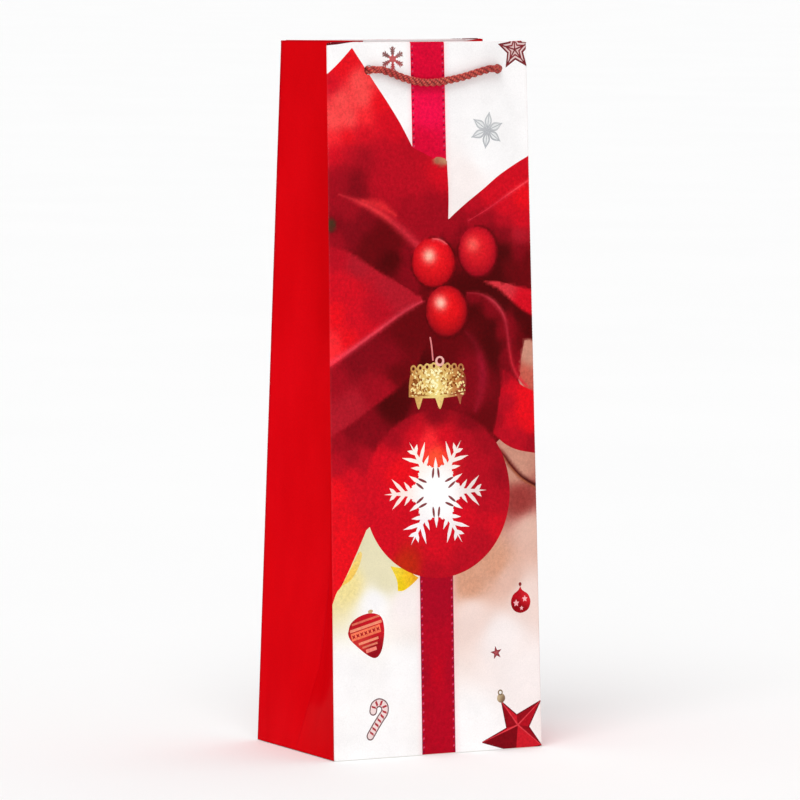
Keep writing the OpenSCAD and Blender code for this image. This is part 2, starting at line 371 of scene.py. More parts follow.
cord_material = make_cord()
KNOT_ROUTE = [(0, 0, 5.6), (0.5, -0.6, 3.4), (2.3, -1.6, 1.2), (2.1, -1.1, -1.9), (-0.2, 1.5, -2.9),
              (-2.6, 1.5, -0.9), (-2.0, -0.7, 2.0), (0.6, -2.5, 2.2), (2.9, 0.5, 0.9), (1.4, 2.4, -0.5),
              (-0.8, 0.5, -1.3), (-0.5, -0.6, -3.6), (0, 0, -5.6), (0.2, 0.1, -8.5),
              (0, 0, -4.75 - TIP_LENGTH)]
for wall, front in (("front", 1), ("back", -1)):
    route = [wall_place(front, x, STACK / 2 - 2.85, HOLE_Z - drop) for x, drop in LOOP_ROUTE]
    loop, centre = rope(f"{wall}_handle_cord", route, fade_ends=(1.5, 1.5))
    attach(loop, f"{wall}_handle")
    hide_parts(f"{wall}_handle_loop")
    for side, away, hole in (("left", -1, HOLE_X[0]), ("right", 1, HOLE_X[1])):
        route = [wall_place(front, hole + away * a, STACK / 2 + b, HOLE_Z - drop) for a, b,
                 drop in TAIL_ROUTE]
        tail, centre = rope(f"{wall}_{side}_tail_cord", route, fade_ends=(1.5, 0.0))
        knot_at = wall_place(front, hole + away * -3.5, STACK / 2 + 9.6, HOLE_Z - KNOT_DROP)
        knot, _ = rope(f"{wall}_{side}_overhand_knot",
                       [knot_at + (away * x, front * y, z) for x, y, z in KNOT_ROUTE],
                       twist_from=4.0, fade_ends=(0.0, 0.8), squash=0.88)
        for piece, node in ((tail, "tail"), (knot, "knot")):
            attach(piece, f"{wall}_wall")
            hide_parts(f"{wall}_{side}_{node}")


# ---------------------------------------------------------------- the printed picture, as shapes in mm
# u runs from the panel's left edge, v up from its bottom crease. Each layer is an outline and a paint.
layers = []
glows = []                                                   # (layers beneath, centre line and widths, paint)
guides = []                                                  # lines that the triangles also follow


def weights(p, anchors, soft):
    d2 = ((p[:, None, :] - np.array([a[:2] for a in anchors], float)[None]) ** 2).sum(-1)
    w = 1.0 / (d2 + soft ** 2) ** 2
    return w / w.sum(1, keepdims=True)


def blend_of(*anchors, soft=4.0):
    """Paint that passes smoothly between anchors (u, v, red, green, blue)."""
    colours = np.array([a[2:] for a in anchors], float)
    return lambda p: weights(p, anchors, soft) @ colours


def flat(*rgb):
    return lambda p: np.tile(np.array(rgb, float), (len(p), 1))


# The print's inks, mixed by hand, close to colours that a scratch script had read from the photo.
NIGHT, MAROON, WINE, GARNET = (76, 2, 4), (102, 3, 10), (130, 5, 20), (158, 8, 26)
CHERRY, CRIMSON, SCARLET = (182, 10, 30), (208, 10, 30), (230, 12, 26)
FLAME, ROSE = (250, 40, 48), (252, 78, 76)
VELVET, PETAL_EDGE, BRICK = (176, 22, 38), (215, 50, 60), (195, 90, 75)
EMBER, RUST_GLOW = (255, 80, 50), (188, 38, 14)
RIBBON, RIBBON_LIT, RIBBON_LOW, RIBBON_DIM = (214, 6, 50), (236, 12, 70), (194, 2, 28), (168, 4, 32)
WHITE, CREAM, BLUSH = (250, 248, 248), (246, 236, 234), (240, 216, 208)
SHELL, FAWN = (224, 182, 166), (212, 154, 126)
TAN, RUST, STRAW, BUTTER = (200, 142, 122), (152, 56, 52), (228, 220, 184), (240, 222, 152)
GOLD, GOLD_LIT, BRONZE, COPPER = (225, 190, 112), (242, 220, 140), (190, 128, 68), (145, 50, 44)


def to_sheet(v, stretch=1.0375):
    """Height on the sheet of a height in the picture: the picture stands a little stretched in the middle."""
    t = np.clip(np.asarray(v, float) / BAG_H, 0, 1)
    return np.where((v > 0) & (v < BAG_H), BAG_H * stretch * t / (1 + (stretch - 1) * t), v)


def to_picture(v, stretch=1.0375):
    t = np.clip(np.asarray(v, float) / BAG_H, 0, 1)
    return np.where((v > 0) & (v < BAG_H), BAG_H * t / (stretch - (stretch - 1) * t), v)


def on_sheet(points):
    points = np.array(points, float)
    points[:, 1] = to_sheet(points[:, 1])
    return points


def layer(outline, paint, soft=False):
    """Adds a shape over the ones before it. Where two soft shapes meet, their colours run into each other."""
    layers.append((on_sheet(outline), paint, soft))


def outline(*runs):
    """A closed outline of smooth runs that meet at corners."""
    parts = [spline(run, step=1.2) for run in runs]
    joined = [p for part in parts for p in part]
    return np.array([p for i, p in enumerate(joined) if np.linalg.norm(p - joined[i - 1]) > 0.05])


def ellipse(cu, cv, ru, rv=None, turn=0.0, step=1.0):
    rv = rv or ru
    n = max(10, int(2 * math.pi * max(ru, rv) / step))
    a = np.arange(n) / n * 2 * math.pi
    u, v = ru * np.cos(a), rv * np.sin(a)
    c, s = math.cos(turn), math.sin(turn)
    return np.stack([cu + u * c - v * s, cv + u * s + v * c], 1)


def stroke(points, widths, step=1.2, closed=False):
    """A band along a smooth line; widths has one number, or one for each point."""
    widths = widths if hasattr(widths, "__len__") else [widths] * len(points)
    line = spline([(*p, w) for p, w in zip(points, widths)], closed, step)
    along = np.gradient(line[:, :2], axis=0)
    along /= np.linalg.norm(along, axis=1)[:, None] + 1e-9
    across = np.stack([-along[:, 1], along[:, 0]], 1) * line[:, 2:3] / 2
    return np.concatenate([line[:, :2] + across, (line[:, :2] - across)[::-1]])


def soft_layer(outline, paint):
    layer(outline, paint, True)


def gleam(points, widths, paint):
    """A soft stroke over the shapes so far, strongest along its middle and gone a little past its width."""
    widths = widths if hasattr(widths, "__len__") else [widths] * len(points)
    line = spline([(*p, w / 2) for p, w in zip(points, widths)], step=0.6)
    glows.append((len(layers), line, paint))
    guides.append(on_sheet(stroke(points, widths)))
    middle = on_sheet(line[::2, :2])
    guides.append(np.concatenate([middle, middle[-2:0:-1]]))


def star(cu, cv, outer, inner, points=5, turn=90.0):
    a = np.radians(turn + np.arange(2 * points) * 180 / points)
    r = np.where(np.arange(2 * points) % 2 == 0, outer, inner)
    return np.stack([cu + r * np.cos(a), cv + r * np.sin(a)], 1)


def berry(cu, cv, ru, rv, body, edge, lit, glint, size):
    """Paint of a round berry: darker rim, lighter towards its glint."""
    def paint(p):
        q = (p - (cu, cv)) / (ru, rv)
        rim = np.clip(np.linalg.norm(q, axis=1), 0, 1)[:, None] ** 3
        low = np.clip(0.5 - 0.7 * q[:, 1:2], 0, 1) * 0.5
        colour = np.array(body, float) * (1 - rim) + np.array(edge, float) * rim
        colour = colour * (1 - low * 0.3)
        far = np.linalg.norm(p - lit, axis=1)
        glow = 0.3 * np.exp(-(far / (1.9 * size)) ** 2)[:, None]
        colour = colour * (1 - glow) + np.array((255.0, 70, 60)) * glow
        shine = np.exp(-(far / size) ** 2.2)[:, None]
        return colour * (1 - shine) + np.array(glint, float) * shine
    return paint


BOTTOM, TOP = -2.0, 404.0
PRINT_TOP = 360.6                                            # the picture ends at the top fold
LEFT, RIGHT = -2.0, 122.0
paper_paint = blend_of(
    (20, 350, *WHITE), (85, 340, *WHITE), (110, 312, *WHITE), (60, 390, *WHITE), (78, 286, *CREAM),
    (96, 304, *WHITE),
    (108, 140, *TAN), (110, 124, *RUST), (116, 108, *SHELL), (94, 92, *FAWN),
    (79, 83, *FAWN),
    (102, 84, *SHELL), (80, 68, *BLUSH), (112, 76, *BLUSH), (98, 56, *CREAM), (112, 36, *CREAM),
    (80, 10, *WHITE), (8, 40, *WHITE), (40, 40, *WHITE), (24, 8, *WHITE), (42, 74, *CREAM),
    (24, 76, *WHITE), (25, 96, *STRAW), (31, 88, *STRAW), (9, 86, *BUTTER), soft=3.0)


def paper(p):
    """White paper, a little pink beside the ribbon."""
    near = np.abs(np.abs(p[:, 0] - 60.0) - 9.6)
    fringe = (np.exp(-(near / 1.6) ** 2) * 0.35 * (p[:, 1] < PRINT_TOP))[:, None]
    return paper_paint(p) * (1 - fringe) + np.array([250.0, 190, 196]) * fringe


layer([(LEFT, BOTTOM), (RIGHT, BOTTOM), (RIGHT, TOP), (LEFT, TOP)], paper)
layer(outline([(33.5, 94), (37, 87), (37.5, 81.5)], [(37.5, 81.5), (41, 81.6), (46, 84.6), (49.5, 87.5)],
              [(49.5, 87.5), (42, 92), (33.5, 94)]),
      blend_of((39, 84, 238, 204, 20), (44, 86, 242, 196, 40), (36, 90, 236, 206, 60),
               (48, 88, 226, 150, 30)))
layer(outline([(5, 85.5), (10, 93), (15, 101.5), (17.2, 101), (15.4, 95), (10.6, 88.4), (5, 85.5)]),
      blend_of((10, 92, 246, 200, 90), (15, 98, 238, 206, 120)))

# the straight ribbon, with stitched edges
layer([(50.2, BOTTOM), (69.4, BOTTOM), (69.6, PRINT_TOP), (50.2, PRINT_TOP)], blend_of(
    (60, 350, *RIBBON), (60, 324, *RIBBON_LIT), (57, 306, *RIBBON), (52, 40, *RIBBON_DIM),
    (60, 40, *RIBBON_LOW), (67, 40, *RIBBON_DIM), (60, 84, *RIBBON_DIM)))
for edge_u in (51.2, 68.6):
    for i in range(68):
        v0 = 1.0 + i * 2.15 if i < 42 else 303.0 + (i - 42) * 2.15
        tint = flat(206, 60, 96) if i % 2 else flat(146, 8, 48)
        layer([(edge_u - 0.5, v0), (edge_u + 0.5, v0 + 0.3), (edge_u + 0.5, v0 + 1.3),
               (edge_u - 0.5, v0 + 1.0)], tint)
for edge_u in (50.5, 69.2):
    layer([(edge_u - 0.2, BOTTOM), (edge_u + 0.2, BOTTOM), (edge_u + 0.2, 90), (edge_u - 0.2, 90)],
          flat(140, 20, 56))

# the bow: its dark heart, then the loops and tails over it
soft_layer(outline([(LEFT, 284), (30, 272), (54, 262), (70, 268)], [(70, 268), (96, 268), (RIGHT, 262)],
              [(RIGHT, 262), (RIGHT, 204), (116, 204)], [(116, 204), (111, 186), (102, 160), (92, 150)],
              [(92, 150), (60, 150), (30, 122), (LEFT, 150)], [(LEFT, 150), (LEFT, 284)]), blend_of(
    (3, 190, *GARNET), (50, 194, *NIGHT), (57, 212, *MAROON), (50, 226, *MAROON), (66, 203, *MAROON),
    (80, 228, *NIGHT), (90, 232, *NIGHT), (92, 200, *NIGHT), (83, 192, *WINE), (80, 178, *WINE),
    (56, 174, *WINE), (42, 182, *NIGHT), (60, 190, *NIGHT), (88, 163, *MAROON), (76, 256, *WINE), soft=3.0))
soft_layer(outline([(LEFT, 166), (12, 172), (26, 180), (40, 188), (52, 186)],
                   [(52, 186), (40, 160), (30, 120)],
              [(30, 120), (20, 112.5)], [(20, 112.5), (15, 103), (10, 94), (5, 85.5), (2, 82), (LEFT, 72)],
              [(LEFT, 72), (LEFT, 166)]), blend_of(
    (3, 157, *GARNET), (13, 162, *WINE), (22, 166, *WINE), (35, 174, *NIGHT), (26, 158, *WINE),
    (12, 149, *GARNET), (3, 146, *CHERRY), (21, 147, *CHERRY), (12, 139, *CRIMSON), (3, 133, *SCARLET),
    (20, 131, *CRIMSON), (12, 115, *SCARLET), (19, 119, *CRIMSON), (4, 104, *SCARLET), (3, 90, *SCARLET),
    soft=3.0))
soft_layer(outline([(LEFT, 200), (12, 206), (30, 214), (48, 224), (54, 227)],
                   [(54, 227), (57, 214), (54, 200), (46, 187.5)],
              [(46, 187.5), (38, 181.5), (25, 173.5), (12, 166), (LEFT, 159)], [(LEFT, 159), (LEFT, 200)]),
              blend_of(
    (3, 188, *GARNET), (16, 196, *WINE), (36, 199, *WINE), (45, 209, *MAROON), (51, 218, *MAROON),
    (14, 175, *VELVET), (3, 167, *VELVET), (24, 182, *GARNET), (32, 182, *GARNET), (40, 190, *MAROON),
    (16, 204, *WINE), soft=3.0))
soft_layer(outline([(LEFT, 256), (10, 253), (20, 248), (30, 242), (40, 236.5), (48, 232), (53, 229),
                    (54.5, 226)],
              [(54.5, 226), (48, 223), (40, 218.5), (30, 212.3), (20, 206.5), (12, 202), (0, 194.8),
               (LEFT, 194)],
              [(LEFT, 194), (LEFT, 256)]), blend_of(
    (3, 250, *CHERRY), (18, 245, *VELVET), (37, 235, *VELVET), (3, 235, *CRIMSON), (13, 234, *CRIMSON),
    (3, 220, *SCARLET), (14, 219, *CRIMSON), (28, 222, *CHERRY), (44, 226, *VELVET), (2, 206, *FLAME),
    (11, 208, *SCARLET), (22, 211, *CRIMSON), soft=3.0))
gleam([(LEFT, 195.4), (12, 202.8), (20, 207.2), (30, 213), (40, 219.2), (48, 223.6), (54, 226.2)],
      [3.0, 2.6, 2.3, 2.1, 2.0, 2.0, 1.2], blend_of((0, 195, 246, 58, 76), (20, 207, 226, 62, 78),
                                                    (48, 224, 204, 50, 66)))
soft_layer(outline([(LEFT, 287), (10, 284), (20, 280), (30, 275), (38, 269), (45, 263), (50, 259),
                    (56, 250)],
              [(56, 248), (52, 230), (48, 232), (40, 236.5), (30, 242), (20, 248), (10, 253), (LEFT, 256)],
              [(LEFT, 256), (LEFT, 283)]), blend_of(
    (3, 277, *GARNET), (3, 266, *WINE), (4, 258, *GARNET), (13, 274, *GARNET), (14, 261, *WINE),
    (22, 268, *WINE), (24, 255, *MAROON), (31, 259, *MAROON), (38, 248, *NIGHT), (40, 257, *MAROON),
    (46, 252, *WINE), (47, 243, *WINE), (50, 238, *WINE), soft=3.0))
soft_layer(ellipse(1.5, 266, 2.6, 3.6), blend_of((1, 268, 66, 50, 28), (3, 263, 92, 34, 26)))
soft_layer(outline([(LEFT, 342), (6, 348.5), (15.5, 357)], [(15.5, 357), (19, 352.5), (23, 347.5),
        (30, 338), (37, 328), (44, 317), (50.5, 305)],
              [(50.5, 305), (58, 301.5), (64, 298.5), (70, 296.5)], [(70, 296.5), (70.5, 282), (70, 266)],
              [(70, 266), (62, 256), (56, 250)], [(56, 250), (50, 257), (45, 261), (38, 267), (30, 272.5),
                                                  (20, 277.6), (10, 281.6), (LEFT, 284)],
              [(LEFT, 284), (LEFT, 342)]), blend_of(
    (3, 338, *CRIMSON), (9, 346, *SCARLET), (15, 352, *SCARLET), (19, 340, *ROSE), (8, 331, *ROSE),
    (22, 331, *ROSE), (32, 328, *SCARLET), (34, 320, *CRIMSON), (4, 319, *ROSE), (13, 320, *ROSE),
    (23, 321, *FLAME), (3, 310, *FLAME), (12, 311, *SCARLET), (22, 313, *CRIMSON), (40, 315, *CRIMSON),
    (4, 303, *CRIMSON), (13, 303, *CHERRY), (22, 301, *GARNET), (35, 304, *CHERRY), (48, 303, *CHERRY),
    (7, 290, *GARNET), (17, 289, *WINE), (19, 283, *WINE), (29, 286, *CHERRY), (42, 286, *CHERRY),
    (52, 284, *CHERRY), (66, 290, *CRIMSON), (60, 276, *GARNET), (48, 276, *GARNET), (66, 271, *GARNET),
    (58, 262, *GARNET), soft=4.5))
gleam([(21, 278.4), (31, 276), (40, 270.5)], [1.6, 4.2, 1.6], flat(214, 36, 44))
gleam([(6, 281.8), (20, 277.2), (30, 272.4), (38, 267), (45, 261.4), (52, 255)],
      [1.0, 2.8, 3.2, 3.6, 4.4, 4.0],
      blend_of((8, 281, 186, 30, 42), (25, 275, 226, 48, 56), (48, 259, 196, 36, 50)))
soft_layer(outline([(61.5, 297.5), (64, 300), (69, 299), (70, 296.5), (66, 295.5), (61.5, 297.5)]),
      blend_of((64, 298, 190, 120, 88), (68, 298, 214, 160, 120), (66, 296, 130, 60, 44)))

# the right side of the bow
soft_layer(outline([(66, 262), (70, 267.5), (80, 275.5), (90, 282.5), (100, 289.5), (110, 295),
                    (RIGHT, 301)],
              [(RIGHT, 301), (RIGHT, 229)], [(RIGHT, 229), (110, 232), (100, 235.5), (92, 236.2),
                                             (80, 240), (66, 262)]), blend_of(
    (73, 265, *GARNET), (84, 275, *CHERRY), (94, 279, *CRIMSON), (104, 286, *CRIMSON), (114, 293, *CRIMSON),
    (116, 278, *SCARLET), (104, 273, *CRIMSON), (102, 266, *CHERRY), (92, 268, *GARNET), (84, 267, *GARNET),
    (114, 266, *CRIMSON), (103, 260, *WINE), (113, 259, *VELVET), (95, 262, *WINE), (103, 250, *NIGHT),
    (113, 250, *WINE), (98, 239, *NIGHT), (108, 241, *MAROON), (119, 246, *MAROON), (78, 261, *WINE),
    (77, 248, *MAROON), (96, 250, *NIGHT), soft=3.0))
gleam([(82, 267), (93, 272.6), (105, 279.2), (115, 284.6), (RIGHT, 288.6)], [0.3, 0.7, 1.0, 1.1, 1.1],
      blend_of((95, 274, 214, 40, 58), (116, 285, 250, 70, 80)))
soft_layer(outline([(90, 235.6), (97, 235.6), (104, 234.2), (112, 232.2), (RIGHT, 230)],
                   [(RIGHT, 230), (RIGHT, 216)],
              [(RIGHT, 216), (112, 221.5), (105, 227), (98, 232), (90, 235.6)]),
      blend_of(
    (94, 235, *PETAL_EDGE), (105, 231, *PETAL_EDGE), (114, 226, *CRIMSON), (119, 221, *CRIMSON)))
soft_layer(outline([(98, 230.5), (105, 225.5), (112, 220.5), (RIGHT, 215)],
                   [(RIGHT, 215), (RIGHT, 204), (115, 204.5)],
              [(115, 204.5), (113, 196), (112, 187), (106, 185), (102, 200), (100, 222), (98, 230.5)]),
              blend_of(
    (101, 225, *NIGHT), (106, 214, *WINE), (112, 218, *NIGHT), (118, 210, *NIGHT), (107, 206, *WINE),
    (112, 204, *MAROON), (108, 196, *WINE), (111, 190, *GARNET), soft=2.5))
soft_layer(outline([(115, 204.6), (118, 205), (RIGHT, 204)], [(RIGHT, 204), (RIGHT, 177)],
                   [(RIGHT, 177), (114, 181), (111.5, 186)],
              [(111.5, 186), (112.5, 195), (115, 204.6)]),
      blend_of(
    (118, 196, *TAN), (114, 188, *BRICK), (119, 183, *BRICK)))
soft_layer(outline([(80, 230.5), (88, 229.5), (95, 226), (100, 221.5), (103, 216), (104.4, 208),
                    (105.5, 200), (107.5, 191)],
              [(107.5, 191), (110, 186), (112, 176), (102, 158), (95, 158)],
              [(95, 158), (98, 172), (99, 184), (98, 196), (96.5, 206), (93, 214), (87, 220), (78, 223)],
              [(78, 223), (80, 230.5)]),
      blend_of(
    (84, 227, *WINE), (95, 222, *WINE), (101, 210, *WINE), (102, 198, *WINE), (104, 186, *WINE),
    (98, 200, *NIGHT), (94, 211, *NIGHT), (84, 222, *NIGHT), (99, 178, *MAROON), (98, 166, *WINE),
    soft=2.5))
soft_layer(outline([(101, 190), (106, 187.5), (109.5, 184.5), (113, 181.5), (RIGHT, 177.5)],
                   [(RIGHT, 177.5), (RIGHT, 146.6)],
              [(RIGHT, 146.6), (110, 148.8), (102, 152), (94, 158)],
              [(94, 158), (96.5, 165), (98.5, 176), (101, 190)]), blend_of(
    (103, 186, *GARNET), (106, 181, *CRIMSON), (114, 177, *SCARLET), (113, 168, *SCARLET),
    (103, 173, *CHERRY), (98, 166, *GARNET), (104, 165, *CRIMSON), (116, 162, *SCARLET),
    (101, 156, *CHERRY), (111, 155, *CHERRY), (118, 152, *GARNET), soft=2.5))
gleam([(80, 230), (88, 229), (95, 225.6), (100, 221), (103, 215.4), (104.4, 208), (105.4, 200),
       (107.2, 192), (110.5, 186), (116, 181)],
             [0.4, 1.4, 1.9, 1.9, 1.9, 1.7, 1.6, 1.6, 1.6, 0.8],
      blend_of((84, 229, 150, 26, 38), (98, 223, 190, 48, 62), (104, 210, 172, 32, 48),
               (107, 192, 196, 34, 48), (114, 182, 222, 44, 56)))
gleam([(79, 210), (83, 206), (87, 198), (88.5, 188), (87, 178), (84, 170)], [1.4, 3.4, 5.0, 5.4, 5.0, 2.4],
      blend_of((82, 207, 112, 8, 20), (88, 190, 150, 14, 36), (86, 174, 146, 14, 32)))
gleam([(94, 152), (100, 147.4), (105, 141.4), (112, 135), (RIGHT, 129.6)], [1.4, 2.0, 2.2, 2.0, 1.8],
      blend_of((98, 149, 110, 14, 16), (104, 142, 84, 10, 10), (116, 132, 60, 2, 4)))
gleam([(100, 146), (105, 140), (112, 133.8), (RIGHT, 128.4)], 0.6, flat(168, 92, 60))

# berries, with the shade that they cast
for cu, cv, ru, rv, body, edge, lit, glint, size in (
        (87.0, 251.0, 11.5, 13.0, (234, 22, 36), (166, 6, 28), (84, 254.5), (248, 92, 84), 3.4),
        (61.0, 246.0, 12.3, 12.6, (247, 18, 28), (186, 6, 22), (58.6, 249.4), (255, 196, 172), 3.4),
        (68.0, 221.0, 11.9, 13.0, (246, 16, 24), (156, 8, 22), (64.6, 225.2), (255, 200, 178), 3.2)):
    soft_layer(ellipse(cu + 0.5, cv - 0.6, ru + 0.7, rv + 0.7, step=1.2), flat(84, 2, 6))
    soft_layer(ellipse(cu, cv, ru, rv, step=1.2), berry(cu, cv, ru, rv, body, edge, lit, glint, size))
gleam([(61, 258), (65, 257.4), (69, 255)], [0.6, 1.2, 0.5], flat(232, 92, 96))

# the bauble
soft_layer(ellipse(61.5, 129, 42.3, 42.2, step=1.4), blend_of(
    (61, 169, *WINE), (44, 165, *GARNET), (80, 165, *WINE), (36, 158, *GARNET), (48, 160, *CRIMSON),
    (57, 155, *FLAME), (60, 148, *EMBER), (66, 157, *CRIMSON), (77, 156, *CHERRY), (92, 154, *GARNET),
    (32, 148, *CRIMSON), (38, 141, *SCARLET), (46, 138, *SCARLET), (24, 134, *CRIMSON), (30, 124, *CRIMSON),
    (86, 142, *CHERRY), (100, 137, *GARNET), (90, 128, *CHERRY), (102, 122, *CHERRY), (22, 119, *CRIMSON),
    (96, 110, *CRIMSON), (30, 104, *CRIMSON), (88, 103, *CHERRY), (43, 93, *RUST_GLOW), (58, 90, *CHERRY),
    (76, 92, *CHERRY), (61, 101, *CRIMSON), (61, 118, *CRIMSON), (46, 118, *CRIMSON), (74, 118, *CRIMSON),
    soft=3.5))


def snowflake(cu, cv, size, paint, thick=1.0, flip=0.0, hole_paint=None):
    """A six-armed snowflake of pointed branches; with hole_paint, it has a lacy disc at the middle."""
    def at(a, r, s):
        return (cu + size * (r * math.cos(a) - s * math.sin(a)),
                cv + size * (r * math.sin(a) + s * math.cos(a)))

    def spike(a, root, lean, reach, half):
        """A pointed branch of the arm at angle a, leaning away from it."""
        tip = (root + reach * math.cos(lean), reach * math.sin(lean))
        mid = (root + reach * 0.55 * math.cos(lean), reach * 0.55 * math.sin(lean))
        over = (-math.sin(lean) * half, math.cos(lean) * half)
        layer([at(a, root - over[0], -over[1]), at(a, mid[0] - over[0], mid[1] - over[1]), at(a, *tip),
               at(a, mid[0] + over[0], mid[1] + over[1]), at(a, root + over[0], over[1])], paint)

    for k in range(6):
        a = math.radians(60 * k + flip)
        spike(a, 0.0, 0.0, 1.0, 0.04 * thick)
        for root, lean, reach in ((0.78, 0.75, 0.16), (0.60, 0.80, 0.36), (0.47, 0.95, 0.25),
                                  (0.34, 1.0, 0.18)):
            for side_of in (-1, 1):
                spike(a, root, side_of * lean, reach, 0.028 * thick)
        if hole_paint:
            for lean in (-0.5, 0.0, 0.5):
                spike(a + math.pi / 6 + lean * 0.36, 0.3, lean, 0.3 - 0.06 * abs(lean), 0.03 * thick)
    if hole_paint:
        a = np.radians(np.arange(72) * 5.0 + flip)
        r = size * (0.455 + 0.02 * np.cos(6 * (a - math.radians(flip))) + 0.03 * np.cos(24 * a))
        layer(np.stack([cu + r * np.cos(a), cv + r * np.sin(a)], 1), paint)
        for k in range(6):
            a = math.radians(60 * k + 30 + flip)
            for s in (-1, 1):
                layer(ellipse(*at(a, 0.33, s * 0.052), size * 0.09, size * 0.022, a - s * 0.12, step=0.7),
                      hole_paint)


snowflake(60.2, 129.6, 29.6, blend_of((61, 128, 253, 253, 253), (45, 150, 252, 240, 230),
                                      (78, 150, 246, 230, 224),
                                  (34, 128, 250, 228, 220), (88, 128, 236, 220, 216),
                                  (50, 104, 246, 240, 244), (74, 104, 240, 232, 232)),
          1.15, 0.0, flat(132, 58, 62))

# painted shade: a dark wedge at the top left of the top edge stands in for the gusset's shaded fold seen over
# that edge
layer([(LEFT, 358.1), (6, 358.7), (21, PRINT_TOP), (LEFT, PRINT_TOP + 0.8)], flat(92, 2, 16))

# the bauble's hanger: ring, crimped gold cap and thread
layer(stroke([(58.2, 208), (58.9, 204), (59.3, 200), (59.6, 196)], 0.8), flat(226, 128, 128))
gold = blend_of(
    (47, 185, *BRONZE), (55, 185, *GOLD), (61, 183, *GOLD_LIT), (66, 185, *GOLD), (72, 185, *BRONZE),
    (78, 183, *COPPER), soft=1.5)
layer(outline([(45.5, 178), (46, 186), (48, 191.5), (54, 193.5), (62, 194.6), (70, 193.4), (76, 191),
               (78.6, 186), (78, 178.4)],
              [(78, 178.4), (76, 177), (75, 173.4), (73.4, 177.6)], [(73.4, 177.6), (65.6, 177)],
              [(65.6, 177), (63.2, 171.4), (60.6, 177)],
              [(60.6, 177), (53.4, 177.2)], [(53.4, 177.2), (51, 171.6), (48.8, 177.6)],
              [(48.8, 177.6), (45.5, 178)]), gold)
draw = np.random.default_rng(11)
for i in range(240):                                         # crimps and glints of the gold
    cu, cv = 46.6 + 31.0 * draw.random(), 178.6 + 13.4 * draw.random()
    near_middle = math.exp(-((cu - 60.0) / 6.5) ** 2)
    dark = draw.random() > 0.42 + 0.3 * near_middle
    tint = np.array((132, 66, 26) if dark else (244, 220, 150)) * (1 - near_middle) + np.array(
        (196, 150, 62) if dark else (255, 248, 196)) * near_middle
    layer(ellipse(cu, cv, 0.35 + 0.3 * draw.random(), 0.5 + 0.5 * draw.random(),
                  (draw.random() - 0.5) * 2.4, step=0.8), flat(*tint))
for i in range(8):
    layer(ellipse(48.4 + i * 3.9, 193.4 - abs(i - 3.5) * 0.35, 1.7, 1.9, step=0.8), gold)
    layer(ellipse(48.4 + i * 3.9, 193.4 - abs(i - 3.5) * 0.35, 0.8, 0.95, step=0.6), flat(92, 20, 16))
layer(stroke([(46, 179.6), (54, 178.6), (62, 178.2), (70, 178.6), (78, 179.8)], 0.7),
      blend_of((50, 179, 150, 92, 44), (62, 178, 236, 214, 130), (76, 179, 140, 60, 34)))
layer(ellipse(63.5, 195.6, 2.6, 2.6, step=0.7), flat(238, 178, 168))
layer(ellipse(63.5, 195.8, 1.4, 1.5, step=0.6), flat(96, 8, 12))

# small ornaments
snowflake(40, 351, 7.2, blend_of((38, 353, 128, 84, 82), (41, 349, 190, 70, 72), (44, 352, 150, 104, 100),
                                 soft=2.0), 2.0, 30)
layer(star(40, 351, 2.8, 1.7, 6, 30), flat(196, 92, 92))
for k in range(6):                                           # silver leaves
    a = math.radians(60 * k + 22)
    tip = np.array([94, 313.5]) + np.array([10.4 * math.cos(a), 9.6 * math.sin(a)])
    mid = (tip + (94, 313.5)) / 2
    over = np.array([-math.sin(a), math.cos(a)]) * 2.3
    layer(outline([(94, 313.5), mid - over, tip], [tip, mid + over, (94, 313.5)]),
          blend_of((90, 318, 196, 198, 200), (96, 310, 178, 180, 184), (102, 316, 206, 207, 208)))
    inner = (94, 313.5) + (mid - (94, 313.5)) * 0.35
    layer(outline([inner, mid - over * 0.62, tip * 0.86 + inner * 0.14],
                  [tip * 0.86 + inner * 0.14, mid + over * 0.62, inner]),
          flat(232, 233, 233))
    layer(stroke([(94, 313.5), mid, tip], 0.5), flat(184, 186, 190))
for outer, inner, tint in ((11.4, 5.4, (122, 40, 46)), (9.0, 4.2, (228, 200, 198)),
                           (7.0, 3.2, (140, 52, 58)), (5.0, 2.2, (226, 190, 188))):
    layer(star(112.8, 355.6, outer, inner, 5, 21), flat(*tint))
for k in range(5):
    a = math.radians(21 + 72 * k)
    layer(stroke([(112.8, 355.6), (112.8 + 10.4 * math.cos(a), 355.6 + 10.4 * math.sin(a))], 0.8),
          flat(122, 40, 46))

layer(outline([(109, 80.6), (110.2, 78.4), (113.6, 76.2), (115, 72.4), (113.4, 68.6), (109, 67),
               (104.8, 68.6), (103.2, 72.4),
               (104.6, 76.2), (107.8, 78.4), (109, 80.6)]),
      blend_of((106, 70, 140, 4, 16), (112, 75, 206, 30, 42), (109, 68, 150, 6, 18),
               (106, 76, 184, 10, 26), soft=2))
for cu, cv, r in ((106.4, 72, 1.9), (111.6, 74, 1.7), (109.6, 69.4, 1.2)):
    layer(star(cu, cv, r, r * 0.5), flat(244, 178, 182))
layer(ellipse(109, 81.4, 0.9, 1.0, step=0.6), flat(130, 30, 34))
layer(star(94, 48, 3.5, 1.4, 5, 100), flat(134, 40, 50))
layer(star(94, 48, 1.8, 0.8, 5, 100), flat(176, 80, 86))

